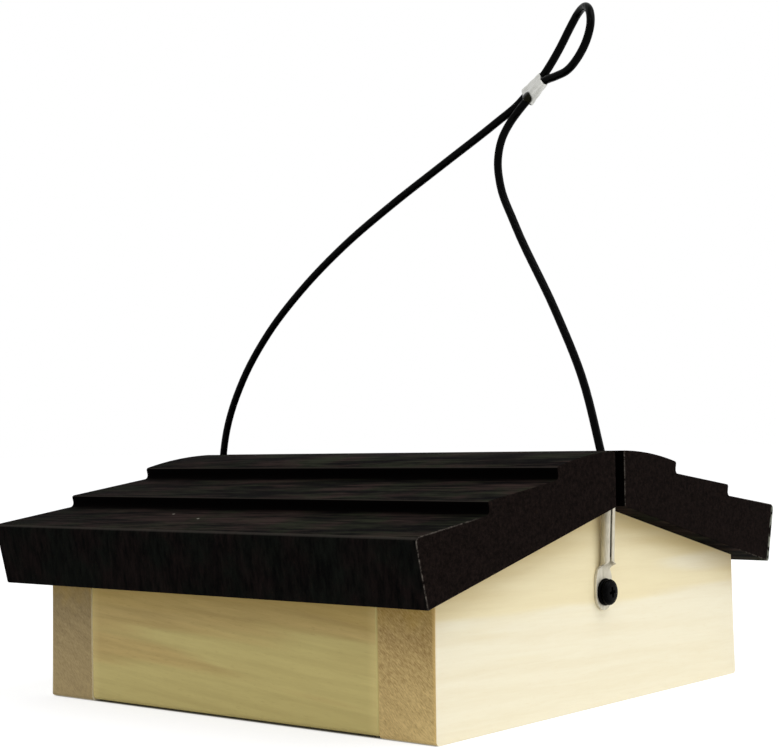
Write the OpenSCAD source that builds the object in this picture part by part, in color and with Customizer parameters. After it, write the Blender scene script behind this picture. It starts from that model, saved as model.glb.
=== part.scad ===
// Upside-down suet feeder. Four boards make a box with a welded mesh floor, from which birds feed
// hanging below. Two stepped roof panels, joined under the ridge, slide up a wire rope hanger so
// that a cake can be dropped in. The rope's ends are crimped in lugs screwed to the gable boards.
// X runs across the gables, Y along the ridge, Z up, and the origin is the middle of the base.

/* [Box] */
// Width of each gable board
gable_w = 164; // [140:1:220]
// Length of the box over its two gable boards
box_l = 160; // [140:1:220]
// Height of the boards at the outer walls, where the roof slope starts
wall_h = 40; // [30:1:70]
// Thickness of the gable boards
gable_t = 20; // [14:0.5:28]
// Thickness of the side boards
side_t = 20; // [14:0.5:28]
// How far the side boards stop short of the ground
side_lift = 0.6; // [0:0.1:2]
// Rounding of the boards' outer edges
arris_r = 1.4; // [0.4:0.1:3]
// Width of the rabbet that the mesh lies in, cut in the lower inner edges
rabbet_w = 6.5; // [5.5:0.5:10]
// Height of that rabbet
rabbet_h = 5; // [4.5:0.5:8]

/* [Corner brads] */
// Diameter of a brad's shank
brad_d = 1.2; // [0.8:0.1:2]
// Length of a brad, through a gable board and into a side board
brad_l = 38; // [30:1:50]
// Diameter of a brad's head
brad_head_d = 2; // [1.6:0.1:4]
// Thickness of a brad's head
brad_head_t = 0.8; // [0.4:0.1:1.5]
// Depth that a brad is set below the gable board's face, under the filler
brad_set = 1.5; // [1:0.1:4]
// Height of the lower brad of each corner
brad_low = 12; // [8:1:20]
// Height of the upper brad of each corner
brad_high = 29; // [22:1:36]

/* [Mesh floor] */
// Spacing aimed at between the mesh wires
mesh_pitch = 12.7; // [9:0.1:26]
// Thickness of a coated mesh wire
mesh_wire = 1.8; // [1.2:0.1:2.4]
// Height of the mesh's underside above the ground
mesh_rise = 1.5; // [1.2:0.1:2.5]
// Depth that the crossing wires are welded into each other
weld_sink = 0.3; // [0.1:0.05:0.6]

/* [Staples] */
// Width of the flat staple wire
staple_w = 1.2; // [0.8:0.1:1.8]
// Thickness of the flat staple wire
staple_t = 1; // [0.6:0.1:1.2]
// Depth that a staple's legs go into a board
staple_bite = 8; // [5:1:12]

/* [Roof] */
// Slope of the roof, in degrees
roof_pitch = 14; // [8:0.5:24]
// Thickness of a roof panel at each nose
roof_t = 20; // [14:0.5:28]
// Length of a panel's underside from the ridge line to its eave
slope_l = 96.7; // [90:0.1:130]
// Slope distance from the ridge line to the first nose
first_nose = 29.6; // [22:0.1:36]
// Slope distance from the first nose to the second
course_l = 34.5; // [24:0.1:44]
// Depth that each course is cut below the nose above it
step_depth = 3.7; // [1.5:0.1:6]
// Rounding of the noses
nose_r = 0.8; // [0.2:0.1:1.5]
// Hollow at the foot of each step
foot_r = 1.5; // [0.5:0.1:2.5]
// Rounding of the eave's top edge
eave_r = 1.8; // [0.5:0.1:4]
// Overhang of the roof past each gable board
gable_over = 7.6; // [3:0.1:20]
// Width of the slot along the ridge that the rope runs in
ridge_slot = 5; // [4.8:0.1:9]
// Clearance between the resting roof and the boards under it
rest_gap = 0.3; // [0.1:0.05:1]

/* [Ridge cleat] */
// Length of the cleat and of the spacer strip on it
cleat_l = 80; // [60:1:90]
// Width of the cleat
cleat_w = 34; // [28:1:50]
// Depth of the cleat's flat bottom below the ridge line of the panels' undersides
cleat_h = 15; // [11:0.5:16]
// Height of the spacer strip that stands in the ridge slot
spacer_h = 10.5; // [6:0.5:14]
// Diameter of a cleat screw's shank
cleat_screw_d = 3.5; // [2.5:0.1:4.5]
// Length of a cleat screw
cleat_screw_l = 24; // [18:1:26]
// Diameter of a cleat screw's countersunk head
cleat_head_d = 7; // [5.5:0.1:9]
// Distance of the cleat screws from the ridge line
cleat_screw_x = 10; // [8:0.5:12]
// Distance between the cleat screws along the ridge
cleat_screw_pitch = 50; // [30:1:52]

/* [Rope lugs] */
// Height of the lug screws
lug_z = 34.3; // [28:0.1:40]
// Thickness of a lug's flat paddle
lug_t = 1; // [0.8:0.1:2]
// Width of a lug's paddle
paddle_w = 8.8; // [8:0.1:14]
// How far the round of the paddle lies below its screw
paddle_drop = 1.1; // [0:0.1:2]
// Width of the neck between paddle and barrel
neck_w = 6.4; // [4:0.1:7]
// Width of the tongue that runs up into the barrel's back
tongue_w = 3.4; // [2.4:0.1:3.8]
// Height of the barrel's foot above the screw
barrel_rise = 8.7; // [7:0.1:12]
// Length of a lug's barrel
barrel_l = 19; // [10:0.5:24]
// Outside diameter of the barrel
barrel_d = 4.2; // [4:0.1:4.6]
// Distance of the barrel's axis from the board, at its foot
barrel_off = 2.2; // [2.15:0.05:4]
// Lean of the barrel away from the board, in degrees
barrel_lean = 2.86; // [0:0.01:8]
// Width of the seam along the rolled barrel
seam_w = 0.5; // [0.2:0.1:0.8]
// Turn of the seam from the barrel's front towards its side, in degrees
seam_turn = 27; // [0:1:40]

/* [Lug screws] */
// Diameter of a lug screw's shank
lug_screw_d = 4; // [3:0.1:5]
// Length of a lug screw under its head
lug_screw_l = 17; // [12:0.5:20]
// Diameter of its pan head
pan_d = 7.9; // [6.5:0.1:11]
// Height of its pan head
pan_h = 1.9; // [1.8:0.1:4]
// Rounding of the head's rim, next to the washer
pan_rim_r = 0.5; // [0.2:0.1:0.8]
// Rounding of the head's crown
pan_crown_r = 1.2; // [0.6:0.1:1.8]
// Outside diameter of the washer under the head
washer_d = 8.3; // [7:0.1:12]
// Thickness of that washer
washer_t = 1; // [0.8:0.1:2]
// Rounding of the washer's two rims
washer_rim_r = 0.3; // [0.1:0.05:0.35]

/* [Rope and ferrule] */
// Diameter of the coated wire rope
rope_d = 2.6; // [2:0.1:2.8]
// Diameter of the rounds at the two sides of the ferrule
ferrule_d = 4; // [3.8:0.1:6]
// Thickness of the ferrule's waist between its two bores
ferrule_waist = 3.3; // [2.6:0.1:3.8]
// Radius of the two bands pressed into the ferrule
crimp_r = 0.9; // [0.5:0.1:1.5]
// Depth of those bands
crimp_sink = 0.25; // [0.1:0.05:0.4]

/* [Hidden] */

// Clearance round a fastener in its hole, on the radius
hole_play = 0.05;
// Clearance round the rope in the lugs and the ferrule, on the radius
rope_play = 0.15;
// Excess of a cutting tool past the face that it cuts
cut = 1;
// Steps in each rounded corner of an outline
corner_steps = 4;
// Steps in the curved top course
crown_steps = 10;
// Steps between two points of the rope's route
rope_steps = 2;
rope_sides = 8;
$fn = 48;

half_w = gable_w / 2;
half_l = box_l / 2;
bay_x = half_w - side_t;
bay_y = half_l - gable_t;
apex_z = wall_h + half_w * tan(roof_pitch);
roof_z = apex_z + rest_gap;
roof_l = box_l + 2 * gable_over;
brad_x = half_w - side_t / 2;

// The outermost mesh wires run this far inside the rabbets, and the wires' ends stop short of its back
edge_in = 1.5;
end_short = 0.8;
staple_in = rabbet_w - 2.3;
cells_x = round(2 * (bay_x + edge_in) / mesh_pitch);
cells_y = round(2 * (bay_y + edge_in) / mesh_pitch);
low_z = mesh_rise + mesh_wire / 2;
high_z = low_z + mesh_wire - weld_sink;
// Staples straddle the wires this many cells from the middle
staple_cells = 3;
leg_off = mesh_wire / 2 + staple_w / 2 + 0.2;

lug_hole_d = lug_screw_d + 0.4;
neck_z = barrel_rise - 1.6;
// How far the barrel's bore is let into the sheet below its foot
bore_relief = 0.4;
// Size of the cross recesses in the screw heads
recess_l = 4.2;
recess_w = 1.1;
recess_h = 1.4;

// The rope's route from the rear lug over the ferrule and the loop to the front lug
route = [
    [0, 82.3, 45], [0, 83.2, 63], [0, 83.2, 72], [0, 80.7, 86], [0, 72, 104], [0, 59.1, 120],
    [0, 42.8, 134.3], [0, 21.8, 148.7], [0, 0, 160.7], [0, -22, 171.6], [0.4, -44.2, 182.8],
    [1, -52.1, 187.4], [1, -55.4, 189.9], [1, -58.7, 192.5], [1, -62, 195.1],
    [1.9, -64.4, 198.6], [3.4, -67.3, 204], [4, -70.5, 209.4], [2.8, -74.6, 213.3], [0, -79, 213.9],
    [-2.6, -82.2, 211.2], [-4, -83.2, 206.9], [-4.5, -81.9, 202], [-3.9, -78.2, 197.4],
    [-2.9, -73.6, 194.4], [-1.8, -68.4, 193.5],
    [-1, -63.6, 192.8], [-1, -60.2, 190.2], [-1, -56.9, 187.6], [-0.9, -53.4, 184.7],
    [-0.5, -49.7, 181.4], [-0.2, -46.4, 177], [0, -44.5, 170.6], [0, -45.3, 162], [0, -50.2, 150],
    [0, -65.7, 120], [0, -74.5, 100], [0, -81, 76], [0, -83.15, 67.5], [0, -83.2, 63], [0, -82.3, 45]];
// The ferrule lies on the two stretches of the route between these points
up_foot = 12;
up_head = 14;
down_head = 26;
down_foot = 28;

// Geometry helpers

function unit(v) = v / norm(v);

// A rounded corner at b between its neighbours a and c, as points, where each point is [x, y, radius]
function corner(a, b, c) =
    let (p = [b.x, b.y], u = unit([a.x, a.y] - p), v = unit([c.x, c.y] - p), r = b.z)
    r == 0 ? [p] :
    let (half = acos(u * v) / 2, centre = p + unit(u + v) * r / sin(half),
        from = p + u * r / tan(half) - centre, to = p + v * r / tan(half) - centre,
        start = atan2(from.y, from.x), turn = atan2(to.y, to.x) - start,
        sweep = turn > 180 ? turn - 360 : turn < -180 ? turn + 360 : turn)
    [for (i = [0:corner_steps]) centre + r * [cos(start + sweep * i / corner_steps),
        sin(start + sweep * i / corner_steps)]];

function rounded(points) = let (n = len(points))
    [for (i = [0:n - 1]) each corner(points[(i + n - 1) % n], points[i], points[(i + 1) % n])];

// Slope of the route at point i, weighted by the distances to its neighbours
function route_slope(i) = let (last = len(route) - 1)
    i == 0 ? unit(route[1] - route[0]) :
    i == last ? unit(route[last] - route[last - 1]) :
    let (before = route[i] - route[i - 1], after = route[i + 1] - route[i],
        a = norm(before), b = norm(after))
    (before / a * b + after / b * a) / (a + b);

// A point of the smooth curve, a share t of the way from route point i to the next
function on_route(i, t) =
    let (span = norm(route[i + 1] - route[i]), start = route_slope(i) * span, end = route_slope(i + 1) * span)
    route[i] * (2 * pow(t, 3) - 3 * t * t + 1) + start * (pow(t, 3) - 2 * t * t + t)
        + route[i + 1] * (3 * t * t - 2 * pow(t, 3)) + end * (pow(t, 3) - t * t);

// Extrudes an outline drawn in X and Z along Y, between two places
module along_y(from, to) {
    translate([0, to, 0]) rotate([90, 0, 0]) linear_extrude(to - from) children();
}

// Box

// Places its children at both brad heights of one gable board's two corners
module at_brads() {
    for (x = [-brad_x, brad_x], z = [brad_low, brad_high])
        translate([x, brad_set - half_l, z]) rotate([-90, 0, 0]) children();
}

module brad_holes() {
    at_brads() {
        translate([0, 0, -hole_play]) cylinder(d = brad_head_d + 2 * hole_play, h = brad_head_t + 2 * hole_play);
        cylinder(d = brad_d + 2 * hole_play, h = brad_l + hole_play);
    }
}

// One staple over a wire that runs along X, with its crown's top at height z
module staple(z, play = 0) {
    top = rabbet_h + staple_bite + play;
    for (y = [-leg_off, leg_off])
        translate([-staple_t / 2 - play, y - staple_w / 2 - play, z - staple_t])
            cube([staple_t + 2 * play, staple_w + 2 * play, top - z + staple_t]);
    translate([-staple_t / 2, -leg_off, z - staple_t]) cube([staple_t, 2 * leg_off, staple_t]);
}

// The staples over the ends of the high wires, in the side boards
module side_staples(play = 0) {
    for (x = [-1, 1], k = [-1, 1])
        translate([x * (bay_x + staple_in), k * staple_cells * 2 * (bay_y + edge_in) / cells_y, 0])
            staple(high_z - mesh_wire / 2, play);
}

// The staples over the ends of the low wires, in the gable boards
module gable_staples(play = 0) {
    for (y = [-1, 1], k = [-1, 1])
        translate([k * staple_cells * 2 * (bay_x + edge_in) / cells_x, y * (bay_y + staple_in), 0])
            rotate(90) staple(mesh_rise, play);
}

module front_gable() {
    difference() {
        along_y(-half_l, -bay_y) polygon(rounded([[-half_w, 0, arris_r], [half_w, 0, arris_r],
            [half_w, wall_h, 0], [0, apex_z, 0], [-half_w, wall_h, 0]]));
        translate([-bay_x - rabbet_w, -bay_y - rabbet_w, -cut])
            cube([2 * (bay_x + rabbet_w), rabbet_w + cut, rabbet_h + cut]);
        translate([0, -half_l - cut, lug_z]) rotate([-90, 0, 0])
            cylinder(d = lug_screw_d + 2 * hole_play, h = lug_screw_l - lug_t - washer_t + cut + hole_play);
        brad_holes();
        gable_staples(hole_play);
    }
}

module front_gable_board() {
    color("cornsilk") front_gable();
}

module rear_gable_board() {
    color("cornsilk") rotate(180) front_gable();
}

module right_side() {
    difference() {
        along_y(-bay_y, bay_y) polygon(rounded([[bay_x, side_lift, 0], [half_w, side_lift, arris_r],
            [half_w, wall_h, 0], [bay_x, wall_h + side_t * tan(roof_pitch), 0]]));
        translate([bay_x - cut, -bay_y - cut, -cut])
            cube([rabbet_w + cut, 2 * (bay_y + cut), rabbet_h + cut]);
        for (turn = [0, 180]) rotate(turn) brad_holes();
        side_staples(hole_play);
    }
}

module right_side_board() {
    color("burlywood") right_side();
}

module left_side_board() {
    color("burlywood") rotate(180) right_side();
}

// An eight-sided wire of length l along Z, with flats on its sides
module mesh_rod(l) {
    rotate(22.5) cylinder(d = mesh_wire / cos(22.5), h = l, center = true, $fn = 8);
}

module mesh_floor() {
    long_x = 2 * (bay_x + rabbet_w - end_short);
    long_y = 2 * (bay_y + rabbet_w - end_short);
    color("dimgray") union() {
        for (i = [0:cells_x])
            translate([(2 * i / cells_x - 1) * (bay_x + edge_in), 0, low_z])
                rotate([90, 0, 0]) mesh_rod(long_y);
        for (i = [0:cells_y])
            translate([0, (2 * i / cells_y - 1) * (bay_y + edge_in), high_z])
                rotate([0, 90, 0]) mesh_rod(long_x);
    }
}

module mesh_staples() {
    color("gray") {
        side_staples();
        gable_staples();
    }
}

module corner_brads() {
    color("tan") for (turn = [0, 180]) rotate(turn) at_brads() {
        cylinder(d = brad_head_d, h = brad_head_t);
        cylinder(d = brad_d, h = brad_l);
    }
}

// Lugs and their screws, drawn for the front board

// Turns its children so that Z runs up the leaning barrel from its foot
module at_barrel() {
    translate([0, -half_l - barrel_off, lug_z + barrel_rise]) rotate([barrel_lean, 0, 0]) children();
}

module cable_lug() {
    foot = barrel_rise + barrel_d / 2;
    difference() {
        union() {
            translate([0, -half_l, lug_z]) rotate([90, 0, 0]) linear_extrude(lug_t) {
                translate([0, -paddle_drop]) circle(d = paddle_w);
                polygon([[-paddle_w / 2, -paddle_drop], [-paddle_w / 2 + 0.1, 0.6 * neck_z],
                    [-neck_w / 2, neck_z], [-tongue_w / 2, foot], [tongue_w / 2, foot], [neck_w / 2, neck_z],
                    [paddle_w / 2 - 0.1, 0.6 * neck_z], [paddle_w / 2, -paddle_drop]]);
            }
            at_barrel() cylinder(d = barrel_d, h = barrel_l);
        }
        at_barrel() translate([0, 0, -bore_relief]) {
            cylinder(d = rope_d + 2 * rope_play, h = bore_relief + barrel_l + cut);
            rotate(-seam_turn) translate([-seam_w / 2, -barrel_d, 0])
                cube([seam_w, barrel_d, bore_relief + barrel_l + cut]);
        }
        translate([0, -half_l + cut, lug_z]) rotate([90, 0, 0]) cylinder(d = lug_hole_d, h = lug_t + 2 * cut);
    }
}

module lug_washer() {
    translate([0, -half_l - lug_t, lug_z]) rotate([90, 0, 0]) rotate_extrude() {
        hole = lug_hole_d / 2;
        rim = washer_d / 2;
        polygon(rounded([[hole, 0, 0], [rim, 0, washer_rim_r], [rim, washer_t, washer_rim_r], [hole, washer_t, 0]]));
    }
}

module lug_screw() {
    translate([0, -half_l - lug_t - washer_t, lug_z]) rotate([90, 0, 0]) difference() {
        union() {
            rotate_extrude() polygon(rounded([[0, 0, 0], [pan_d / 2, 0, pan_rim_r],
                [pan_d / 2, pan_h, min(pan_crown_r, pan_h - pan_rim_r)], [0, pan_h, 0]]));
            translate([0, 0, -lug_screw_l]) cylinder(d = lug_screw_d, h = lug_screw_l + 0.1);
        }
        cross_recess(pan_h);
    }
}

// The driver's cross, sunk from height z into a head
module cross_recess(z) {
    for (turn = [0, 90]) rotate(turn)
        translate([-recess_l / 2, -recess_w / 2, z - recess_h]) cube([recess_l, recess_w, recess_h + cut]);
}

module front_cable_lug() {
    color("silver") cable_lug();
}

module rear_cable_lug() {
    color("silver") rotate(180) cable_lug();
}

module front_lug_washer() {
    color("black") lug_washer();
}

module rear_lug_washer() {
    color("black") rotate(180) lug_washer();
}

module front_lug_screw() {
    color("black") lug_screw();
}

module rear_lug_screw() {
    color("black") rotate(180) lug_screw();
}

// Rope and ferrule

module hanger_cable() {
    last = len(route) - 1;
    path = [for (i = [0:last - 1], j = [0:rope_steps - 1]) on_route(i, j / rope_steps), route[last]];
    n = len(path);
    rings = [for (i = [0:n - 1])
        let (ahead = unit(path[min(i + 1, n - 1)] - path[max(i - 1, 0)]),
            side = unit([1, 0, 0] - ahead.x * ahead), up = cross(ahead, side))
        for (k = [0:rope_sides - 1]) path[i] + rope_d / 2 *
            (cos(360 * k / rope_sides) * side + sin(360 * k / rope_sides) * up)];
    walls = [for (i = [0:n - 2], k = [0:rope_sides - 1])
        let (a = i * rope_sides + k, b = i * rope_sides + (k + 1) % rope_sides)
        each [[a, b + rope_sides, b], [a, a + rope_sides, b + rope_sides]]];
    foot = [[for (k = [0:rope_sides - 1]) k]];
    head = [[for (k = [rope_sides - 1:-1:0]) (n - 1) * rope_sides + k]];
    color("black") polyhedron(rings, concat(walls, foot, head));
}

module crimp_ferrule() {
    foot = (route[up_foot] + route[down_foot]) / 2;
    head = (route[up_head] + route[down_head]) / 2;
    z_dir = unit(head - foot);
    across = route[up_foot] + route[up_head] - route[down_foot] - route[down_head];
    gap = (across - (across * z_dir) * z_dir) / 2;
    x_dir = unit(gap);
    y_dir = cross(z_dir, x_dir);
    lane = norm(gap) / 2;
    length = norm(head - foot);
    color("gainsboro") multmatrix([[x_dir.x, y_dir.x, z_dir.x, foot.x], [x_dir.y, y_dir.y, z_dir.y, foot.y],
        [x_dir.z, y_dir.z, z_dir.z, foot.z], [0, 0, 0, 1]]) difference() {
        union() {
            for (x = [-lane, lane]) translate([x, 0, 0]) cylinder(d = ferrule_d, h = length);
            translate([-lane, -ferrule_waist / 2, 0]) cube([2 * lane, ferrule_waist, length]);
        }
        for (x = [-lane, lane]) translate([x, 0, -cut])
            cylinder(d = rope_d + 2 * rope_play, h = length + 2 * cut);
        // Two bands where the crimping tool has pressed the sleeve
        for (y = [-1, 1], z = [0.32, 0.68]) translate([0, y * (ferrule_d / 2 - crimp_sink + crimp_r), z * length])
            rotate([0, 90, 0]) cylinder(r = crimp_r, h = 4 * ferrule_d, center = true);
    }
}

// Roof

// A point of the roof from its distance s down the slope and n off the panels' undersides
function on_slope(s, n, r = 0) =
    [s * cos(roof_pitch) + n * sin(roof_pitch), roof_z - s * sin(roof_pitch) + n * cos(roof_pitch), r];

module panel_outline() {
    slot = ridge_slot / 2;
    second_nose = first_nose + course_l;
    foot_n = roof_t - step_depth;
    eave_n = foot_n + step_depth * (slope_l - second_nose) / course_l;
    nose = on_slope(first_nose, roof_t);
    // The top course is crowned: level at the ridge, and as steep as the slope at its nose
    crown_r = nose.x / sin(roof_pitch);
    crown_z = nose.y + crown_r * (1 - cos(roof_pitch));
    start = asin(slot / crown_r);
    crown = [for (i = [1:crown_steps - 1]) let (a = start + (roof_pitch - start) * i / crown_steps)
        [crown_r * sin(a), crown_z - crown_r * (1 - cos(a)), 0]];
    polygon(rounded(concat(
        [[slot, roof_z - slot * tan(roof_pitch), 0], on_slope(slope_l, 0, 0.6), on_slope(slope_l, eave_n, eave_r),
            on_slope(second_nose, foot_n, foot_r), on_slope(second_nose, roof_t, nose_r),
            on_slope(first_nose, foot_n, foot_r), on_slope(first_nose, roof_t, nose_r)],
        [for (i = [len(crown) - 1:-1:0]) crown[i]],
        [[slot, crown_z - crown_r * (1 - cos(start)), 0.8]])));
}

// Places its children on the cleat's bottom at its four screws, Z up the screws
module at_cleat_screws() {
    for (x = [-cleat_screw_x, cleat_screw_x], y = [-cleat_screw_pitch / 2, cleat_screw_pitch / 2])
        translate([x, y, roof_z - cleat_h]) children();
}

// A countersunk screw's form, grown by play
module cleat_screw(play = 0) {
    cylinder(d1 = cleat_head_d + 2 * play, d2 = cleat_screw_d + 2 * play, h = (cleat_head_d - cleat_screw_d) / 2);
    cylinder(d = cleat_screw_d + 2 * play, h = cleat_screw_l + play);
}

module right_panel() {
    difference() {
        along_y(-roof_l / 2, roof_l / 2) panel_outline();
        at_cleat_screws() cleat_screw(hole_play);
    }
}

module right_roof_panel() {
    color([0.13, 0.12, 0.11]) right_panel();
}

module left_roof_panel() {
    color([0.13, 0.12, 0.11]) rotate(180) right_panel();
}

module ridge_cleat() {
    land = ridge_slot / 2;
    edge = cleat_w / 2;
    color("peru") difference() {
        along_y(-cleat_l / 2, cleat_l / 2) polygon([[-edge, roof_z - cleat_h], [edge, roof_z - cleat_h],
            [edge, roof_z - edge * tan(roof_pitch)], [land, roof_z - land * tan(roof_pitch)],
            [-land, roof_z - land * tan(roof_pitch)], [-edge, roof_z - edge * tan(roof_pitch)]]);
        at_cleat_screws() cleat_screw(hole_play);
        at_cleat_screws() translate([0, 0, -cut]) cylinder(d = cleat_head_d + 2 * hole_play, h = cut);
    }
}

module ridge_spacer() {
    color("saddlebrown") translate([-ridge_slot / 2, -cleat_l / 2, roof_z - ridge_slot / 2 * tan(roof_pitch)])
        cube([ridge_slot, cleat_l, spacer_h]);
}

module cleat_screws() {
    color("goldenrod") at_cleat_screws() difference() {
        cleat_screw();
        mirror([0, 0, 1]) cross_recess(0);
    }
}

front_gable_board();
rear_gable_board();
left_side_board();
right_side_board();
mesh_floor();
mesh_staples();
corner_brads();
front_cable_lug();
rear_cable_lug();
front_lug_washer();
rear_lug_washer();
front_lug_screw();
rear_lug_screw();
hanger_cable();
crimp_ferrule();
left_roof_panel();
right_roof_panel();
ridge_cleat();
ridge_spacer();
cleat_screws();
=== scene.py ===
# Upside-down suet feeder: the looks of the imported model, in its own frame and in metres.
import math

import bmesh
import bpy
from mathutils import Matrix, Vector


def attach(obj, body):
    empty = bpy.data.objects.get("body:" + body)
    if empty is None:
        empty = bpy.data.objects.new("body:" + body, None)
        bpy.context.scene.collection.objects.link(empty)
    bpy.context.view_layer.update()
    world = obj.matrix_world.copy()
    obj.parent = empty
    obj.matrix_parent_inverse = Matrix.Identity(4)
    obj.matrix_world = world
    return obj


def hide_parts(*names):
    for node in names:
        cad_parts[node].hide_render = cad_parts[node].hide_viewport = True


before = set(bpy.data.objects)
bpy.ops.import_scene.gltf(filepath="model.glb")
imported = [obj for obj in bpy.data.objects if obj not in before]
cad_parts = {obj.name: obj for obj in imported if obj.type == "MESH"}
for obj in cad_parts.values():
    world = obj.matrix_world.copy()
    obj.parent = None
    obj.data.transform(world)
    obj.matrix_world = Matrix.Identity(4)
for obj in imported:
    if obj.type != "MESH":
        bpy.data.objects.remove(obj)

MM = 0.001

# Sizes of the box and the roof in millimetres and the roof's pitch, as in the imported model
pitch = math.radians(14)
half_w, half_l, bay_x, bay_y = 82, 80, 62, 60
wall_h, rabbet_w, rabbet_h = 40, 6.5, 5
apex_z = wall_h + half_w * math.tan(pitch)
roof_z = apex_z + 0.3
roof_end = 87.6
eave, first_nose, second_nose, thick, foot = 96.7, 29.6, 64.1, 20, 16.3
eave_n = foot + (thick - foot) * (eave - second_nose) / (second_nose - first_nose)
# Half the width of the slot between the slabs, and where their undersides start at it
slot = 2.5
slot_z = roof_z - slot * math.tan(pitch)

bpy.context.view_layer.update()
scene = bpy.context.scene
scene.view_settings.view_transform = "Standard"


# Camera

# It stands where the photograph's stood, found from the box's edges, and looks slightly upwards
right = Vector((0.6419598, -0.7665125, -0.0186090))
up = Vector((-0.0164971, -0.0380731, 0.9991388))
back = -Vector((0.7665608, 0.6410999, 0.0370866))
eye = Vector((-430.858, -357.873, 82.636)) * MM
lens = bpy.data.cameras.new("camera")
lens.sensor_fit, lens.sensor_width, lens.lens = "HORIZONTAL", 36, 77.079
camera = bpy.data.objects.new("camera", lens)
camera.matrix_world = Matrix((right, up, back)).transposed().to_4x4()
camera.matrix_world.translation = eye
scene.collection.objects.link(camera)
scene.camera = camera


# Helpers for nodes and colours

def srgb(code):
    """The linear colour of an sRGB hex value."""
    parts = [int(code[i:i + 2], 16) / 255 for i in (0, 2, 4)]
    return [c / 12.92 if c <= 0.04045 else ((c + 0.055) / 1.055) ** 2.4 for c in parts] + [1]


def node(tree, kind, inputs=None, **settings):
    """Adds a node with its settings, and sets or links its inputs by their names or numbers."""
    made = tree.nodes.new("ShaderNode" + kind)
    for name, value in settings.items():
        setattr(made, name, value)
    for name, value in (inputs or {}).items():
        if isinstance(value, bpy.types.NodeSocket):
            tree.links.new(value, made.inputs[name])
        else:
            made.inputs[name].default_value = value
    return made


def finish(name, **values):
    """A material with a principled shader that has these values. Returns material, tree and shader."""
    material = bpy.data.materials.new(name)
    material.use_nodes = True
    shader = material.node_tree.nodes["Principled BSDF"]
    for key, value in values.items():
        shader.inputs[key.replace("_", " ")].default_value = value
    return material, material.node_tree, shader


def pictured(tree):
    """1 for rays that show the surroundings: from the camera, off gloss or through glass."""
    path = node(tree, "LightPath")
    seen = node(tree, "Math", {0: path.outputs["Is Camera Ray"], 1: path.outputs["Is Glossy Ray"]},
        operation="MAXIMUM").outputs[0]
    return node(tree, "Math", {0: seen, 1: path.outputs["Is Transmission Ray"]}, operation="MAXIMUM").outputs[0]


def spotted(tree, colour, code, centre, outer, inner, most=1):
    """The colour with a round spot of another one on it. Its centre and radii are in millimetres, and it is
    strongest within the inner radius."""
    away = node(tree, "VectorMath", {0: node(tree, "TexCoord").outputs["Object"], 1: [v * MM for v in centre]},
        operation="DISTANCE").outputs["Value"]
    near = node(tree, "MapRange", {"Value": away, "From Min": outer * MM, "From Max": inner * MM,
        "To Max": most}).outputs[0]
    return node(tree, "Mix", {0: near, 6: colour, 7: srgb(code)}, data_type="RGBA").outputs[2]


# A wave texture of scale 1 repeats after this many metres
WAVE = 0.314


# Materials of the boards

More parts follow.
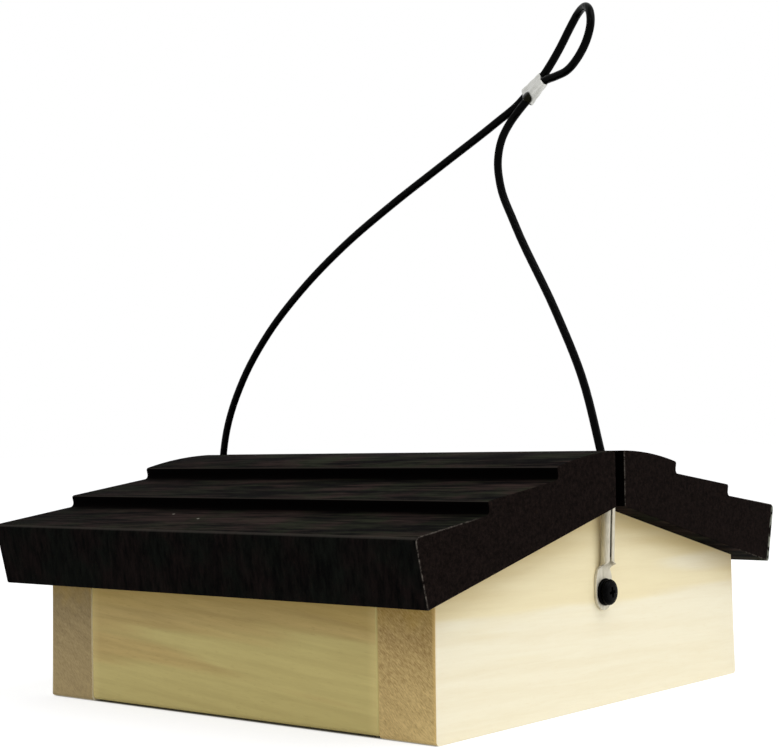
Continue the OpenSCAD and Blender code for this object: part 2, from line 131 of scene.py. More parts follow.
def poplar(name, along, light, line, patch, end, end_dark, arris_gold, ring, tilt, contrast, low, heart):
    """Bare poplar with its grain along one axis, 0 for X and 1 for Y. Late wood draws soft lines a ring
    apart in millimetres, tilted a little in the board, over fine fibres. Warmer heartwood shows in ragged
    bands above the heart's height. Their edge rises towards the ends, which keeps the gables' lower corners
    paler as painted light. The ends across the grain are browner and rough from the saw."""
    material, tree, shader = finish(name, Roughness=0.62, Specular_IOR_Level=0.3)
    place = node(tree, "TexCoord")
    turn = (tilt, 0, 0) if along else (0, tilt, 0)
    stretched = [1, 1, 1]
    stretched[along] = 14
    grain = node(tree, "Mapping", {"Vector": place.outputs["Object"], "Rotation": turn, "Scale": stretched},
        vector_type="TEXTURE").outputs[0]
    rings = node(tree, "TexWave", {"Vector": grain, "Scale": WAVE / (ring * MM), "Distortion": 9, "Detail": 4,
        "Detail Scale": 0.5, "Detail Roughness": 0.65}, wave_profile="SIN", bands_direction="Z").outputs["Fac"]
    fibre = node(tree, "TexNoise", {"Vector": grain, "Scale": 1 / (0.8 * MM), "Detail": 3,
        "Roughness": 0.65}).outputs["Fac"]
    wide = node(tree, "TexNoise", {"Vector": grain, "Scale": 1 / (3.5 * MM), "Detail": 4, "Roughness": 0.65,
        "Distortion": 0.5}).outputs["Fac"]
    # Short dark flecks where the planer opened pores, drawn 0.5 mm wide so that they show
    fleck = node(tree, "Mapping", {"Vector": place.outputs["Object"], "Rotation": turn,
        "Scale": [1 if axis != along else 7 for axis in range(3)]}, vector_type="TEXTURE").outputs[0]
    pores = node(tree, "TexNoise", {"Vector": fleck, "Scale": 1 / (0.5 * MM), "Detail": 1}).outputs["Fac"]

    lines = node(tree, "MapRange", {"Value": rings, "From Min": 0.5, "From Max": 1, "To Max": 0.55 * contrast},
        interpolation_type="SMOOTHSTEP").outputs[0]
    bands = node(tree, "MapRange", {"Value": wide, "From Min": 0.42, "From Max": 0.7,
        "To Max": contrast}).outputs[0]
    dashes = node(tree, "MapRange", {"Value": pores, "From Min": 0.62, "From Max": 0.78,
        "To Max": contrast}).outputs[0]
    threads = node(tree, "MapRange", {"Value": fibre, "From Min": 0.35, "From Max": 0.7,
        "To Max": 0.6 * contrast}).outputs[0]
    spot = node(tree, "SeparateXYZ", {0: place.outputs["Object"]})
    height = spot.outputs[2]
    aside = node(tree, "Math", {0: spot.outputs[0]}, operation="ABSOLUTE").outputs[0]
    # The heartwood bands' lower edge rises towards the boards' ends, so the gables' lower corners stay paler:
    # painted light
    ragged = node(tree, "TexNoise", {"Vector": grain, "Scale": 1 / (11 * MM), "Detail": 2}).outputs["Fac"]
    ragged = node(tree, "Math", {0: ragged, 1: 0.06, 2: height}, operation="MULTIPLY_ADD").outputs[0]
    ragged = node(tree, "Math", {0: aside, 1: -0.12, 2: ragged}, operation="MULTIPLY_ADD").outputs[0]
    heartwood_and_painted_light = node(tree, "MapRange", {"Value": ragged, "From Min": (heart + 26) * MM, "From Max": (heart + 36) * MM},
        interpolation_type="SMOOTHSTEP").outputs[0]
    colour = node(tree, "Mix", {0: heartwood_and_painted_light, 6: srgb(light), 7: srgb(patch)}, data_type="RGBA").outputs[2]
    # The figure is strong in the heartwood and faint below it
    figure = node(tree, "MapRange", {"Value": heartwood_and_painted_light, "To Min": low}).outputs[0]
    for share in (lines, bands, threads, dashes):
        share = node(tree, "Math", {0: share, 1: figure}, operation="MULTIPLY").outputs[0]
        colour = node(tree, "Mix", {0: share, 6: colour, 7: srgb(line)}, data_type="RGBA").outputs[2]

    # The end grain shows the ring pattern rising to the right, and saw scratches that cross it. It darkens
    # upwards
    scratch = node(tree, "Mapping", {"Vector": place.outputs["Object"], "Rotation": (0.75, 0, 0),
        "Scale": (1, 4, 1)}, vector_type="TEXTURE").outputs[0]
    hatch = node(tree, "TexNoise", {"Vector": scratch, "Scale": 1 / (0.4 * MM), "Detail": 2,
        "Roughness": 0.7}).outputs["Fac"]
    across = node(tree, "Mapping", {"Vector": place.outputs["Object"], "Rotation": (0.5, 0, 0),
        "Scale": (1, 6, 1)}, vector_type="TEXTURE").outputs[0]
    mottle = node(tree, "TexNoise", {"Vector": across, "Scale": 1 / (2 * MM), "Detail": 3,
        "Roughness": 0.6}).outputs["Fac"]
    rough = node(tree, "Math", {0: mottle, 1: 0.5, 2: hatch}, operation="MULTIPLY_ADD").outputs[0]
    rough = node(tree, "Math", {0: height, 1: 11, 2: rough}, operation="MULTIPLY_ADD").outputs[0]
    rough = node(tree, "MapRange", {"Value": rough, "From Min": 0.68, "From Max": 1.3}).outputs[0]
    sawn = node(tree, "Mix", {0: rough, 6: srgb(end), 7: srgb(end_dark)}, data_type="RGBA").outputs[2]
    facing = node(tree, "SeparateXYZ", {0: place.outputs["Normal"]})
    sizes = [node(tree, "Math", {0: facing.outputs[axis]}, operation="ABSOLUTE").outputs[0] for axis in range(3)]
    is_end = node(tree, "MapRange", {"Value": sizes[along], "From Min": 0.45, "From Max": 0.8},
        interpolation_type="SMOOTHSTEP").outputs[0]
    colour = node(tree, "Mix", {0: is_end, 6: colour, 7: sawn}, data_type="RGBA").outputs[2]
    # Under the roof the boards' tops are drawn darker and more golden: painted shade of the roof's overhang
    spread = node(tree, "TexNoise", {"Vector": grain, "Scale": 1 / (5 * MM), "Detail": 3}).outputs["Fac"]
    spread = node(tree, "Math", {0: spread, 1: 0.012, 2: height}, operation="MULTIPLY_ADD").outputs[0]
    below = node(tree, "Math", {0: aside, 1: math.tan(pitch), 2: spread},
        operation="MULTIPLY_ADD").outputs[0]
    painted_roof_shade = node(tree, "MapRange", {"Value": below, "From Min": 53 * MM, "From Max": 68 * MM, "To Max": 0.5},
        interpolation_type="SMOOTHSTEP").outputs[0]
    colour = node(tree, "Mix", {0: painted_roof_shade, 6: colour, 7: srgb("C6A344")}, data_type="RGBA").outputs[2]
    if along:
        # The photograph shows the last 3 mm beside the gable board paler
        last = node(tree, "Math", {0: spot.outputs[1]}, operation="ABSOLUTE").outputs[0]
        last = node(tree, "MapRange", {"Value": last, "From Min": (bay_y - 4) * MM, "From Max": (bay_y - 1) * MM,
            "To Max": 0.22}).outputs[0]
        colour = node(tree, "Mix", {0: last, 6: colour, 7: srgb("F2DC96")}, data_type="RGBA").outputs[2]
    # The upright arrises are a warmer gold in the photograph
    arris = node(tree, "Math", {0: sizes[0], 1: sizes[1]}, operation="MULTIPLY").outputs[0]
    arris = node(tree, "MapRange", {"Value": arris, "From Min": 0.1, "From Max": 0.4, "To Max": 0.7}).outputs[0]
    colour = node(tree, "Mix", {0: arris, 6: colour, 7: srgb(arris_gold)}, data_type="RGBA").outputs[2]
    tree.links.new(colour, shader.inputs["Base Color"])
    relief = node(tree, "Mix", {0: is_end, 2: fibre, 3: hatch}).outputs[0]
    bump = node(tree, "Bump", {"Height": relief, "Strength": 0.3, "Distance": 0.2 * MM})
    tree.links.new(bump.outputs[0], shader.inputs["Normal"])
    return material


# Sanded poplar sapwood: even cream, with lines so faint that the gables look almost plain. The rear one's
# ends are greyer
pale_board = poplar("poplar_sapwood_sanded", along=0, light="F8F0D6", line="E4D2A6", patch="F5E8C0", end="DABF82",
    end_dark="8E6E38", arris_gold="E3BF78", ring=9, tilt=0.03, contrast=0.18, low=0.9, heart=26)
pale_board_rear = poplar("poplar_sapwood_greyed", along=0, light="F8F0D6", line="E4D2A6", patch="F5E8C0",
    end="B49E70", end_dark="826E48", arris_gold="CDBB90", ring=8, tilt=-0.02, contrast=0.18, low=0.9, heart=26)
# Planed poplar heartwood: olive tan, with wavy lines, dark dashes and a browner band high up
tan_board = poplar("poplar_heartwood_planed", along=1, light="CEBF7C", line="9C824A", patch="C8AF70", end="C9AD77",
    end_dark="967D50", arris_gold="D2C684", ring=4, tilt=0.09, contrast=0.34, low=0.5, heart=14)


def stained_pine():
    """Rough-sawn pine under near-black stain: flat, with brushed streaks and patches along the treads, saw
    marks across the eaves and noses, and greyer lines along the arrises, wear and painted highlight."""
    material, tree, shader = finish("pine_rough_sawn_black_stain", Roughness=0.9, Specular_IOR_Level=0.01)
    place = node(tree, "TexCoord")
    streak = node(tree, "Mapping", {"Vector": place.outputs["Object"], "Rotation": (0, 0, 0.03),
        "Scale": (1, 12, 1)}, vector_type="TEXTURE").outputs[0]
    streaks = node(tree, "TexNoise", {"Vector": streak, "Scale": 1 / (1.8 * MM), "Detail": 4,
        "Roughness": 0.7}).outputs["Fac"]
    brushed = node(tree, "Mapping", {"Vector": place.outputs["Object"], "Rotation": (0, 0, 0.12),
        "Scale": (1, 5, 1)}, vector_type="TEXTURE").outputs[0]
    brushed = node(tree, "TexNoise", {"Vector": brushed, "Scale": 1 / (8 * MM), "Detail": 4,
        "Roughness": 0.65}).outputs["Fac"]
    saw = node(tree, "Mapping", {"Vector": place.outputs["Object"], "Rotation": (0.12, 0, 0),
        "Scale": (3.5, 1, 3.5)}, vector_type="TEXTURE").outputs[0]
    marks = node(tree, "TexNoise", {"Vector": saw, "Scale": 1 / (2 * MM), "Detail": 4,
        "Roughness": 0.75}).outputs["Fac"]
    pits = node(tree, "TexNoise", {"Vector": place.outputs["Object"], "Scale": 1 / (1.1 * MM), "Detail": 4,
        "Roughness": 0.75}).outputs["Fac"]
    blots = node(tree, "TexNoise", {"Vector": place.outputs["Object"], "Scale": 1 / (16 * MM), "Detail": 4,
        "Roughness": 0.6}).outputs["Fac"]
    facing = node(tree, "SeparateXYZ", {0: place.outputs["Normal"]})
    steep, ended, level = [node(tree, "Math", {0: facing.outputs[axis]}, operation="ABSOLUTE").outputs[0]
        for axis in range(3)]
    is_steep = node(tree, "MapRange", {"Value": steep, "From Min": 0.5, "From Max": 0.75}).outputs[0]
    is_end = node(tree, "MapRange", {"Value": ended, "From Min": 0.5, "From Max": 0.75}).outputs[0]
    relief = node(tree, "Mix", {0: is_steep, 2: streaks, 3: marks}).outputs[0]
    relief = node(tree, "Mix", {0: is_end, 2: relief, 3: pits}).outputs[0]
    # Stain pools in the grooves and thins where the brush dragged, greenish in some patches and red in others. The
    # treads are drawn darker towards the rear, as painted shade
    tone = node(tree, "Math", {0: streaks, 1: brushed}, operation="ADD").outputs[0]
    tone = node(tree, "MapRange", {"Value": tone, "From Min": 0.88, "From Max": 1.18}).outputs[0]
    spot = node(tree, "SeparateXYZ", {0: place.outputs["Object"]})
    # Painted shade: this mask darkens the treads towards the rear
    thick = node(tree, "MapRange", {"Value": spot.outputs[1], "From Min": 10 * MM, "From Max": 85 * MM, "To Min": 1,
        "To Max": 0.45}).outputs[0]
    tone = node(tree, "Math", {0: tone, 1: thick}, operation="MULTIPLY").outputs[0]
    thin = node(tree, "MapRange", {"Value": blots, "From Min": 0.42, "From Max": 0.58}).outputs[0]
    pale = node(tree, "Mix", {0: thin, 6: srgb("25271D"), 7: srgb("2F2522")}, data_type="RGBA").outputs[2]
    tread = node(tree, "Mix", {0: tone, 6: srgb("060505"), 7: pale}, data_type="RGBA").outputs[2]
    shade = node(tree, "MapRange", {"Value": relief, "From Min": 0.35, "From Max": 0.7}).outputs[0]
    dim = node(tree, "Mix", {0: thin, 6: srgb("131512"), 7: srgb("1A1413")}, data_type="RGBA").outputs[2]
    flank = node(tree, "Mix", {0: shade, 6: srgb("060606"), 7: dim}, data_type="RGBA").outputs[2]
    end = node(tree, "Mix", {0: shade, 6: srgb("0B0807"), 7: srgb("1E1715")}, data_type="RGBA").outputs[2]
    # The risers under the noses are drawn near black, and so is the first of each tread at a riser's foot: painted
    # shade. The first riser stands this far from the middle and the next a course further. The crown is left as it
    # is
    riser_x, course_w, crown_x = 33.2, 33.5, 32
    out = node(tree, "Math", {0: spot.outputs[0]}, operation="ABSOLUTE").outputs[0]
    at_eave = node(tree, "MapRange", {"Value": out, "From Min": 79 * MM, "From Max": 81 * MM}).outputs[0]
    flank = node(tree, "Mix", {0: at_eave, 6: srgb("030202"), 7: flank}, data_type="RGBA").outputs[2]
    from_foot = node(tree, "Math", {0: out, 1: -riser_x * MM}, operation="ADD").outputs[0]
    from_foot = node(tree, "Math", {0: from_foot, 1: course_w * MM, 2: 0.0}, operation="WRAP").outputs[0]
    clear_of_foot_shade = node(tree, "MapRange", {"Value": from_foot, "From Max": 6 * MM, "To Min": 0.15}).outputs[0]
    on_crown = node(tree, "Math", {0: out, 1: crown_x * MM}, operation="LESS_THAN").outputs[0]
    clear_of_foot_shade = node(tree, "Math", {0: clear_of_foot_shade, 1: on_crown}, operation="MAXIMUM").outputs[0]
    tread = node(tree, "Mix", {0: clear_of_foot_shade, 6: srgb("030202"), 7: tread}, data_type="RGBA").outputs[2]
    colour = node(tree, "Mix", {0: is_steep, 6: tread, 7: flank}, data_type="RGBA").outputs[2]
    colour = node(tree, "Mix", {0: is_end, 6: colour, 7: end}, data_type="RGBA").outputs[2]
    arris_wear_and_highlight = node(tree, "Math", {0: steep, 1: ended}, operation="MULTIPLY").outputs[0]
    rubbed = node(tree, "Math", {0: steep, 1: level}, operation="MULTIPLY").outputs[0]
    arris_wear_and_highlight = node(tree, "MapRange", {"Value": arris_wear_and_highlight, "From Min": 0.2, "From Max": 0.45}).outputs[0]
    at_joint = node(tree, "Math", {0: out, 1: 6 * MM}, operation="LESS_THAN").outputs[0]
    exposed = node(tree, "Math", {0: at_eave, 1: at_joint}, operation="MAXIMUM").outputs[0]
    arris_wear_and_highlight = node(tree, "Math", {0: arris_wear_and_highlight, 1: exposed}, operation="MULTIPLY").outputs[0]
    # A paler line also follows the end's arris over the lowest tread
    crest = node(tree, "Math", {0: level, 1: ended}, operation="MULTIPLY").outputs[0]
    crest = node(tree, "MapRange", {"Value": crest, "From Min": 0.15, "From Max": 0.4, "To Max": 0.75}).outputs[0]
    lowest = node(tree, "MapRange", {"Value": out, "From Min": 70 * MM, "From Max": 78 * MM}).outputs[0]
    crest = node(tree, "Math", {0: crest, 1: lowest}, operation="MULTIPLY").outputs[0]
    arris_wear_and_highlight = node(tree, "Math", {0: arris_wear_and_highlight, 1: crest}, operation="MAXIMUM").outputs[0]
    # A broken pale line follows the outer edge of the right slab's end: wear and painted highlight on that arris.
    # The eave's face leans out with the pitch, so a point's place is measured along that face to this height
    rim_z = 60.7
    down = node(tree, "Math", {0: spot.outputs[2], 1: -rim_z * MM}, operation="ADD").outputs[0]
    down = node(tree, "Math", {0: down, 1: -math.tan(pitch), 2: spot.outputs[0]},
        operation="MULTIPLY_ADD").outputs[0]
    rim = node(tree, "MapRange", {"Value": down, "From Min": 97.6 * MM, "From Max": 98.8 * MM}).outputs[0]
    chips = node(tree, "TexNoise", {"Vector": place.outputs["Object"], "Scale": 1 / (2.2 * MM),
        "Detail": 2}).outputs["Fac"]
    chips = node(tree, "MapRange", {"Value": chips, "From Min": 0.4, "From Max": 0.56}).outputs[0]
    rim = node(tree, "Math", {0: rim, 1: chips}, operation="MULTIPLY").outputs[0]
    # Only the photographed end, which faces -Y, shows it
    at_front = node(tree, "MapRange", {"Value": facing.outputs[1], "From Min": -0.3, "From Max": -0.6}).outputs[0]
    rim = node(tree, "Math", {0: rim, 1: at_front}, operation="MULTIPLY").outputs[0]
    rubbed = node(tree, "MapRange", {"Value": rubbed, "From Min": 0.34, "From Max": 0.49, "To Max": 0.2}).outputs[0]
    # The noses and the eave's top arris stand high over the slope, but the hollows under them don't
    reach = node(tree, "Math", {0: out, 1: math.tan(pitch), 2: spot.outputs[2]},
        operation="MULTIPLY_ADD").outputs[0]
    proud = node(tree, "MapRange", {"Value": reach, "From Min": 78.6 * MM, "From Max": 79.6 * MM}).outputs[0]
    rubbed = node(tree, "Math", {0: rubbed, 1: proud}, operation="MULTIPLY").outputs[0]
    broken = node(tree, "MapRange", {"Value": pits, "From Min": 0.4, "From Max": 0.65}).outputs[0]
    arris_wear_and_highlight = node(tree, "Math", {0: arris_wear_and_highlight, 1: broken}, operation="MULTIPLY").outputs[0]
    arris_wear_and_highlight = node(tree, "Math", {0: arris_wear_and_highlight, 1: rubbed}, operation="MAXIMUM").outputs[0]
    # The pale arris lines are wear, and painted highlight where the arrises catch the light
    colour = node(tree, "Mix", {0: arris_wear_and_highlight, 6: colour, 7: srgb("625C56")}, data_type="RGBA").outputs[2]
    colour = node(tree, "Mix", {0: rim, 6: colour, 7: srgb("8B8E82")}, data_type="RGBA").outputs[2]
    # Two pale flecks on the left slab's lowest tread
    for fleck in ((-75.45, 27.94, 59.77), (-81.59, 10.57, 58.91)):
        colour = spotted(tree, colour, "B5B0A6", fleck, outer=0.55, inner=0.2, most=0.8)
    tree.links.new(colour, shader.inputs["Base Color"])
    bump = node(tree, "Bump", {"Height": relief, "Strength": 0.6, "Distance": 0.4 * MM})
    tree.links.new(bump.outputs[0], shader.inputs["Normal"])
    return material


stained_roof = stained_pine()


# Materials of the metal pieces and the rope

def lined_metal(name, colour, dark, roughness, grit, stretched, patch=None):
    """Bare or plated metal whose drawn, pressed or rolled surface carries fine lines, grit millimetres
    apart and long in the stretched directions, and dulls a little in patches. A patch is a round spot, given
    by its colour, its centre and its two radii."""
    material, tree, shader = finish(name, Metallic=1)
    place = node(tree, "TexCoord")
    drawn = node(tree, "Mapping", {"Vector": place.outputs["Object"], "Scale": stretched},
        vector_type="TEXTURE").outputs[0]
    lines = node(tree, "TexNoise", {"Vector": drawn, "Scale": 1 / (grit * MM), "Detail": 3}).outputs["Fac"]
    dull = node(tree, "TexNoise", {"Vector": place.outputs["Object"], "Scale": 1 / (4 * MM),
        "Detail": 3}).outputs["Fac"]
    spread = node(tree, "MapRange", {"Value": dull, "From Min": 0.35, "From Max": 0.65,
        "To Min": roughness - 0.08, "To Max": roughness + 0.1}).outputs[0]
    tone = node(tree, "MapRange", {"Value": lines, "From Min": 0.35, "From Max": 0.7}).outputs[0]
    mixed = node(tree, "Mix", {0: tone, 6: srgb(colour), 7: srgb(dark)}, data_type="RGBA").outputs[2]
    if patch:
        mixed = spotted(tree, mixed, *patch)
    tree.links.new(mixed, shader.inputs["Base Color"])
    tree.links.new(spread, shader.inputs["Roughness"])
    bump = node(tree, "Bump", {"Height": lines, "Strength": 0.25, "Distance": 0.05 * MM})
    tree.links.new(bump.outputs[0], shader.inputs["Normal"])
    return material


# Tinned steel sheet, rolled and crimped: warm grey, with a soft shine along the barrel
tinned_sheet = lined_metal("tinned_steel_rolled", "D2CDBE", "BAB4A2", roughness=0.66, grit=0.35,
    stretched=(1, 1, 8))
# Pressed aluminium: pale and satin. In the photograph a dark patch covers the near side of the sleeve's foot
aluminium = lined_metal("aluminium_pressed", "CDCDC8", "B4B4AE", roughness=0.34, grit=0.6, stretched=(1, 6, 5),
    patch=("16150E", (-2.9, -57.8, 188.1), 2.4, 1.9))
# Galvanised wire: dull grey zinc with a faint crystal pattern
zinc = lined_metal("steel_wire_galvanised", "A9AAA7", "868784", roughness=0.5, grit=1.2, stretched=(1, 1, 1))
# Yellow chromated zinc: golden, with a little brown in its fine lines
yellow_zinc = lined_metal("steel_yellow_zinc", "D2B777", "A88C52", roughness=0.34, grit=0.5, stretched=(1, 1, 1))


def coated(name, colour, roughness, grain, height, **values):
    """A black finish whose skin is slightly uneven, grain millimetres from one rise to the next."""
    material, tree, shader = finish(name, Base_Color=srgb(colour), **values)
    place = node(tree, "TexCoord").outputs["Object"]
    skin = node(tree, "TexNoise", {"Vector": place, "Scale": 1 / (grain * MM), "Detail": 3}).outputs["Fac"]
    spread = node(tree, "MapRange", {"Value": skin, "From Min": 0.3, "From Max": 0.7,
        "To Min": roughness - 0.06, "To Max": roughness + 0.08}).outputs[0]
    tree.links.new(spread, shader.inputs["Roughness"])
    bump = node(tree, "Bump", {"Height": skin, "Strength": 0.3, "Distance": height * MM})
    tree.links.new(bump.outputs[0], shader.inputs["Normal"])
    return material


# Black phosphated steel: oily black, dull enough that highlights spread over the whole rim
black_steel = coated("steel_black_phosphated", "020202", 0.25, 0.6, 0.03, Specular_IOR_Level=0.02)
# Polyethylene dipped over welded wire: soft black with a slightly lumpy skin
wire_coating = coated("polyethylene_dipped_wire", "151515", 0.45, 1.5, 0.06)


def rope_sheath():
    """Nylon drawn over twisted wire rope: glossy black, with the strands' lay just raised under it."""
    material, tree, shader = finish("nylon_sheathed_rope", Base_Color=srgb("020202"), Roughness=0.18,
        Specular_IOR_Level=0.03)
    lay = node(tree, "SeparateXYZ", {0: node(tree, "Attribute", attribute_name="lay").outputs["Vector"]})
    angle = node(tree, "Math", {0: lay.outputs[1], 1: lay.outputs[0]}, operation="ARCTAN2").outputs[0]
    # Each strand goes once round in one length of lay
    strand_count, lay_length = 7, 22
    turns = node(tree, "Math", {0: lay.outputs[2], 1: math.tau / (lay_length * MM)},
        operation="MULTIPLY").outputs[0]
    phase = node(tree, "Math", {0: angle, 1: turns}, operation="SUBTRACT").outputs[0]
    phase = node(tree, "Math", {0: phase, 1: strand_count}, operation="MULTIPLY").outputs[0]
    strands = node(tree, "Math", {0: phase}, operation="COSINE").outputs[0]
    bump = node(tree, "Bump", {"Height": strands, "Strength": 0.35, "Distance": 0.05 * MM})
    tree.links.new(bump.outputs[0], shader.inputs["Normal"])
    return material


rope_coating = rope_sheath()


# Helpers for shapes, which are drawn in millimetres

def prism(outline, start, end):
    """A solid with one outline of x and z, running along Y."""
    bm = bmesh.new()
    face = bm.faces.new([bm.verts.new((x, start, z)) for x, z in outline])
    made = bmesh.ops.extrude_face_region(bm, geom=[face])["geom"]
    bmesh.ops.translate(bm, vec=(0, end - start, 0), verts=[v for v in made if isinstance(v, bmesh.types.BMVert)])
    bmesh.ops.recalc_face_normals(bm, faces=bm.faces)
    return bm


def block(low, high):
    """A box between two corners."""
    bm = bmesh.new()
    bmesh.ops.create_cube(bm, size=1)
    bmesh.ops.scale(bm, vec=[b - a for a, b in zip(low, high)], verts=bm.verts)
    bmesh.ops.translate(bm, vec=[(a + b) / 2 for a, b in zip(low, high)], verts=bm.verts)
    return bm


def soften(bm, radius, chosen, segments=3):
    """Rounds the edges whose two ends are both chosen."""
    edges = [e for e in bm.edges if all(chosen(v.co) for v in e.verts)]
    bmesh.ops.bevel(bm, geom=edges, offset=radius, segments=segments, profile=0.5, affect="EDGES", material=-1)


def skin(rings, layer=None, marks=None):
    """A closed skin over rings of equally many points, whose ends are filled. A mark for each point goes
    into a layer that a material reads."""
    bm = bmesh.new()
    around, along = len(rings[0]), len(rings) - 1
    bmesh.ops.create_grid(bm, x_segments=around, y_segments=along, size=0.5)
    kept = bm.verts.layers.float_vector.new(layer) if layer else None
    for v in bm.verts:
        i, j = round((v.co.x + 0.5) * around) % around, round((v.co.y + 0.5) * along)
        v.co = rings[j][i]
        if layer:
            v[kept] = marks[j][i]
    bmesh.ops.remove_doubles(bm, verts=bm.verts, dist=1e-4)
    bmesh.ops.holes_fill(bm, edges=[e for e in bm.edges if e.is_boundary])
    bmesh.ops.recalc_face_normals(bm, faces=bm.faces)
    return bm


def spun(profile, matrix):
    """A turned solid from its profile of radius and height, set in place by a matrix."""
    bm = bmesh.new()
    verts = [bm.verts.new((r, 0, z)) for r, z in profile]
    edges = [bm.edges.new(pair) for pair in zip(verts, verts[1:])]
    bmesh.ops.spin(bm, geom=verts + edges, cent=(0, 0, 0), axis=(0, 0, 1), angle=math.tau, steps=56,
        use_merge=True)
    bmesh.ops.remove_doubles(bm, verts=bm.verts, dist=1e-4)
    bmesh.ops.recalc_face_normals(bm, faces=bm.faces)
    bmesh.ops.transform(bm, matrix=matrix, verts=bm.verts)
    return bm


def joined(*parts):
    """Several meshes as one."""
    whole = bmesh.new()
    for part in parts:
        mesh = bpy.data.meshes.new("part")
        part.to_mesh(mesh)
        part.free()
        whole.from_mesh(mesh)
        bpy.data.meshes.remove(mesh)
    return whole


def minus(bm, tool):
    """Cuts one mesh out of another."""
    pair = []
    for part in (bm, tool):
        mesh = bpy.data.meshes.new("part")
        part.to_mesh(mesh)
        part.free()
        pair.append(bpy.data.objects.new("part", mesh))
        scene.collection.objects.link(pair[-1])
    cut = pair[0].modifiers.new("cut", "BOOLEAN")
    cut.operation, cut.solver, cut.object = "DIFFERENCE", "EXACT", pair[1]
    left = bmesh.new()
    left.from_object(pair[0], bpy.context.evaluated_depsgraph_get())
    for obj in pair:
        bpy.data.meshes.remove(obj.data)
    bmesh.ops.remove_doubles(left, verts=left.verts, dist=1e-4)
    return left


def piece(bm, name, material, body="box", turned=False, sharp=32):
    """Finishes a mesh as the piece that stands for the CAD node of this name, turned to the other end of
    the box if asked, and rides on its body."""
    if turned:
        bmesh.ops.rotate(bm, cent=(0, 0, 0), matrix=Matrix.Rotation(math.pi, 3, "Z"), verts=bm.verts)
    bmesh.ops.scale(bm, vec=(MM, MM, MM), verts=bm.verts)
    mesh = bpy.data.meshes.new(name + "_skin")
    bm.to_mesh(mesh)
    bm.free()
    mesh.materials.append(material)
    mesh.shade_smooth()
    mesh.set_sharp_from_angle(angle=math.radians(sharp))
    obj = bpy.data.objects.new(name + "_skin", mesh)
    scene.collection.objects.link(obj)
    # Flat faces stay flat beside rounded arrises
    weighted = obj.modifiers.new("weighted", "WEIGHTED_NORMAL")
    weighted.keep_sharp = True
    obj.data = bpy.data.meshes.new_from_object(obj.evaluated_get(bpy.context.evaluated_depsgraph_get()))
    obj.modifiers.clear()
    bpy.data.meshes.remove(mesh)
    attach(obj, body)
    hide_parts(name)
    return obj


# Rope and ferrule

# The rope's route in millimetres, from inside the rear lug over the ferrule and the loop to the front lug
route = [Vector(p) for p in [
    (0, 82.3, 45), (0, 83.2, 63), (0, 83.2, 72), (0, 80.7, 86), (0, 72, 104), (0, 59.1, 120),
    (0, 42.8, 134.3), (0, 21.8, 148.7), (0, 0, 160.7), (0, -22, 171.6), (0.4, -44.2, 182.8),
    (1, -52.1, 187.4), (1, -55.4, 189.9), (1, -58.7, 192.5), (1, -62, 195.1),
    (1.9, -64.4, 198.6), (3.4, -67.3, 204), (4, -70.5, 209.4), (2.8, -74.6, 213.3), (0, -79, 213.9),
    (-2.6, -82.2, 211.2), (-4, -83.2, 206.9), (-4.5, -81.9, 202), (-3.9, -78.2, 197.4),
    (-2.9, -73.6, 194.4), (-1.8, -68.4, 193.5),
    (-1, -63.6, 192.8), (-1, -60.2, 190.2), (-1, -56.9, 187.6), (-0.9, -53.4, 184.7),
    (-0.5, -49.7, 181.4), (-0.2, -46.4, 177), (0, -44.5, 170.6), (0, -45.3, 162), (0, -50.2, 150),
    (0, -65.7, 120), (0, -74.5, 100), (0, -81, 76), (0, -83.15, 67.5), (0, -83.2, 63), (0, -82.3, 45)]]
rope_d = 2.6
# Rings of the tube between two points of the route, and points in each ring
steps, sides = 6, 18


def slope(i):
    """The direction of the route at a point, weighted by how near its neighbours are."""
    if i == 0:
        return (route[1] - route[0]).normalized()
    if i == len(route) - 1:
        return (route[-1] - route[-2]).normalized()
    before, after = route[i] - route[i - 1], route[i + 1] - route[i]
    a, b = before.length, after.length
    return (before / a * b + after / b * a) / (a + b)


def rope():
    """One tube along the smooth route, marked with the way round it and along it."""
    path = []
    for i in range(len(route) - 1):
        span = (route[i + 1] - route[i]).length
        for t in [k / steps for k in range(steps)]:
            path.append(route[i] * (2 * t ** 3 - 3 * t * t + 1) + slope(i) * span * (t ** 3 - 2 * t * t + t)
                + route[i + 1] * (3 * t * t - 2 * t ** 3) + slope(i + 1) * span * (t ** 3 - t * t))
    path.append(route[-1])
    side, along, rings, marks = Vector((1, 0, 0)), 0, [], []
    for i, point in enumerate(path):
        ahead = (path[min(i + 1, len(path) - 1)] - path[max(i - 1, 0)]).normalized()
        side = (side - ahead * side.dot(ahead)).normalized()
        other = ahead.cross(side)
        along += (point - path[i - 1]).length if i else 0
        ways = [(math.cos(math.tau * k / sides), math.sin(math.tau * k / sides)) for k in range(sides)]
        rings.append([point + (side * c + other * s) * rope_d / 2 for c, s in ways])
        marks.append([(c, s, along * MM) for c, s in ways])
    return skin(rings, "lay", marks), path, along


